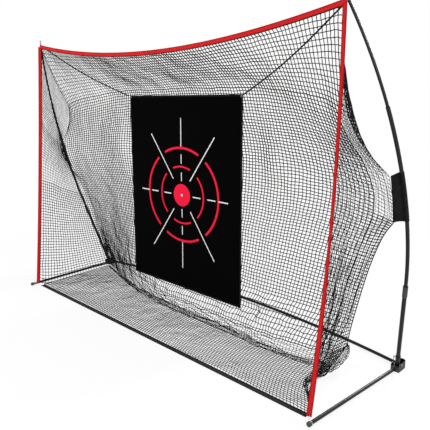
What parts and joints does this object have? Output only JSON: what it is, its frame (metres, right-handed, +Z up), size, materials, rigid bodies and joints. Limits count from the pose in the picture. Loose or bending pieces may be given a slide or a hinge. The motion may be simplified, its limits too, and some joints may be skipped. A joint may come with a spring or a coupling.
{
  "type": "golf practice net",
  "caption": "Free-standing hitting net: leaning bowed uprights on corner shoes, bowed rear bar, side bars, red-edged netting and a hanging ring target.",
  "frame": {"origin": "on the floor, in the middle of the frame's whole box", "axes": "+X to the player's right, -Y towards the player, +Z up"},
  "size_m": [3.4134, 1.1122, 2.1528],
  "materials": {
    "black_steel": "satin black powder coat",
    "shoe_steel": "satin black powder coat on bent plate",
    "black_nylon": "moulded black nylon",
    "bare_steel": "bare bright steel",
    "ring_steel": "dull zinc plate",
    "pole_black": "satin black coat on fibreglass",
    "pocket_cloth": "plain black cloth",
    "red_webbing": "woven red webbing, folded edges",
    "strip_webbing": "woven charcoal webbing",
    "black_net": "knotted black netting",
    "black_cord": "braided black cord",
    "elastic_cord": "braided black elastic",
    "white_elastic": "white elastic cord",
    "bolt_steel": "darkened zinc plate",
    "target_cloth": "black cloth printed in red and white",
    "target_edge": "sewn black binding tape",
    "grommet_metal": "pressed metal"
  },
  "bodies": {
    "frame": {"border_left": "red_webbing", "border_right": "red_webbing", "border_top": "red_webbing", "corner_shoe_left": "shoe_steel", "corner_shoe_right": "shoe_steel", "foot_socket_left": "black_steel", "foot_socket_right": "black_steel", "front_strip": "strip_webbing", "lower_tube_left": "black_steel", "lower_tube_right": "black_steel", "net_back_corner": "black_net", "net_back_lower": "black_net", "net_back_upper": "black_net", "net_floor": "black_net", "net_hip_left": "black_net", "net_hip_right": "black_net", "net_shoulder_left": "black_net", "net_shoulder_right": "black_net", "net_side_left": "black_net", "net_side_right": "black_net", "net_top_left": "black_net", "net_top_right": "black_net", "rear_bar_left": "black_steel", "rear_bar_middle": "black_steel", "rear_bar_right": "black_steel", "rear_ferrule_left": "bare_steel", "rear_ferrule_right": "bare_steel", "shock_cord_left": "elastic_cord", "shock_cord_right": "elastic_cord", "shoe_bolts": "bolt_steel", "socket_block_left": "black_nylon", "socket_block_right": "black_nylon", "target_cord_left": "black_cord", "target_cord_right": "black_cord", "tube_collar_left": "black_nylon", "tube_collar_right": "black_nylon"},
    "upper_pole_left": {"pole_left": "pole_black", "pole_top_left": "pole_black", "pole_tip_left": "bare_steel", "tip_ring_left": "ring_steel", "net_pocket_left": "pocket_cloth"},
    "left_side_bar": {"side_bar_left": "black_steel", "end_cap_left": "black_nylon", "corner_loop_left": "white_elastic"},
    "upper_pole_right": {"pole_right": "pole_black", "pole_top_right": "pole_black", "pole_tip_right": "bare_steel", "tip_ring_right": "ring_steel", "net_pocket_right": "pocket_cloth"},
    "right_side_bar": {"side_bar_right": "black_steel", "end_cap_right": "black_nylon", "corner_loop_right": "white_elastic"},
    "target": {"target_sheet": "target_cloth", "target_binding": "target_edge", "target_grommets": "grommet_metal"}
  },
  "joints": [
    {"name": "target_swing", "type": "hinge", "parent": "frame", "child": "target", "pos_m": [0, -0.055, 1.679], "axis": [1, 0, 0], "range_deg": [-20, 2.4]},
    {"name": "side_bar_pull_left", "type": "slide", "parent": "frame", "child": "left_side_bar", "axis": [0.0647, -0.9979, -0.0018], "range_m": [0, 0.05]},
    {"name": "upper_pole_pull_left", "type": "slide", "parent": "frame", "child": "upper_pole_left", "axis": [-0.1461, -0.2942, 0.9445], "range_m": [0, 0.06]},
    {"name": "side_bar_pull_right", "type": "slide", "parent": "frame", "child": "right_side_bar", "axis": [-0.0647, -0.9979, -0.0018], "range_m": [0, 0.05]},
    {"name": "upper_pole_pull_right", "type": "slide", "parent": "frame", "child": "upper_pole_right", "axis": [0.1461, -0.2942, 0.9445], "range_m": [0, 0.06]}
  ]
}
